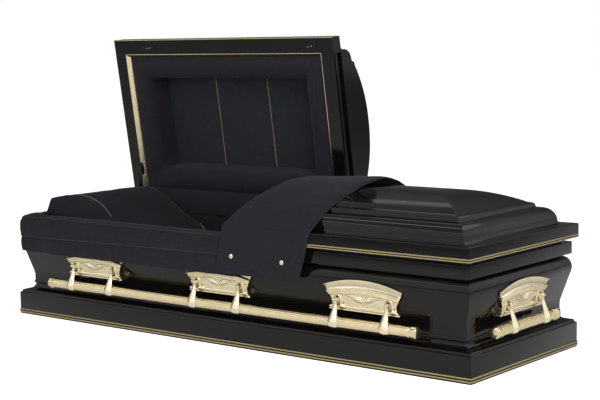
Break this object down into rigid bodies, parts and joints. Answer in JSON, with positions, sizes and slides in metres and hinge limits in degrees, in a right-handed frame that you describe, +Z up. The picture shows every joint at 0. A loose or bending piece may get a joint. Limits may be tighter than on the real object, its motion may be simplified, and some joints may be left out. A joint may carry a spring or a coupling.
{
  "type": "funeral casket",
  "caption": "Half-couch metal casket in gloss black with gold hardware, two hinged lids, padded dark lining, pillow and swing-bar handles.",
  "frame": {"origin": "centre of the base moulding's flat underside", "axes": "+X towards the foot end, -Y towards the front where the cloth hangs, +Z up"},
  "size_m": [2.19, 0.8385, 1.0938],
  "materials": {
    "gloss_paint": "high gloss black",
    "gold_plate": "polished pale gold",
    "olive_gold": "satin olive gold",
    "black_hardware": "satin black",
    "rubber_seal": "matt black",
    "charcoal_cloth": "soft woven",
    "panel_cloth": "soft woven"
  },
  "bodies": {
    "base": {"base_moulding": "gloss_paint", "base_trim": "olive_gold", "body_shell": "gloss_paint", "rim_gasket": "rubber_seal", "head_lid_hinge": "black_hardware", "foot_lid_hinge": "black_hardware", "lining": "charcoal_cloth", "extendover": "charcoal_cloth", "mattress": "charcoal_cloth", "pillow": "charcoal_cloth", "front_ear_1": "gold_plate", "front_ear_2": "gold_plate", "front_ear_3": "gold_plate", "back_ear_1": "gold_plate", "back_ear_2": "gold_plate", "back_ear_3": "gold_plate", "foot_ear": "gold_plate", "head_ear": "gold_plate"},
    "head_lid": {"head_lid_shell": "gloss_paint", "head_lid_header": "gloss_paint", "head_lid_edge_trim": "olive_gold", "head_lid_inner_trim": "gold_plate", "head_lid_roll": "charcoal_cloth", "head_lid_panel": "panel_cloth", "head_lid_catch_1": "black_hardware", "head_lid_catch_2": "black_hardware", "head_lid_stay": "black_hardware"},
    "foot_lid": {"foot_lid_shell": "gloss_paint", "foot_lid_edge_trim": "olive_gold", "throw": "charcoal_cloth", "throw_button_1": "gold_plate", "throw_button_2": "gold_plate"},
    "front_handle": {"front_arm_1": "gold_plate", "front_arm_2": "gold_plate", "front_arm_3": "gold_plate", "front_arm_4": "gold_plate", "front_arm_5": "gold_plate", "front_arm_6": "gold_plate", "front_bar": "gold_plate", "front_tip_1": "gold_plate", "front_tip_2": "gold_plate"},
    "back_handle": {"back_arm_1": "gold_plate", "back_arm_2": "gold_plate", "back_arm_3": "gold_plate", "back_arm_4": "gold_plate", "back_arm_5": "gold_plate", "back_arm_6": "gold_plate", "back_bar": "gold_plate", "back_tip_1": "gold_plate", "back_tip_2": "gold_plate"},
    "foot_handle": {"foot_arm_1": "gold_plate", "foot_arm_2": "gold_plate", "foot_bar": "gold_plate", "foot_tip_1": "gold_plate", "foot_tip_2": "gold_plate"},
    "head_handle": {"head_arm_1": "gold_plate", "head_arm_2": "gold_plate", "head_bar": "gold_plate", "head_tip_1": "gold_plate", "head_tip_2": "gold_plate"}
  },
  "joints": [
    {"name": "head_lid_hinge", "type": "hinge", "parent": "base", "child": "head_lid", "pos_m": [-0.48, 0.338, 0.4006], "axis": [1, 0, 0], "range_deg": [0, 36]},
    {"name": "foot_lid_hinge", "type": "hinge", "parent": "base", "child": "foot_lid", "pos_m": [0.58, 0.338, 0.4006], "axis": [-1, 0, 0], "range_deg": [0, 60]},
    {"name": "front_handle_swing", "type": "hinge", "parent": "base", "child": "front_handle", "pos_m": [0, -0.35, 0.2195], "axis": [-1, 0, 0], "range_deg": [0, 80]},
    {"name": "back_handle_swing", "type": "hinge", "parent": "base", "child": "back_handle", "pos_m": [0, 0.35, 0.2195], "axis": [1, 0, 0], "range_deg": [0, 80]},
    {"name": "foot_handle_swing", "type": "hinge", "parent": "base", "child": "foot_handle", "pos_m": [1.065, 0, 0.2195], "axis": [0, -1, 0], "range_deg": [0, 80]},
    {"name": "head_handle_swing", "type": "hinge", "parent": "base", "child": "head_handle", "pos_m": [-1.065, 0, 0.2195], "axis": [0, 1, 0], "range_deg": [0, 80]}
  ]
}
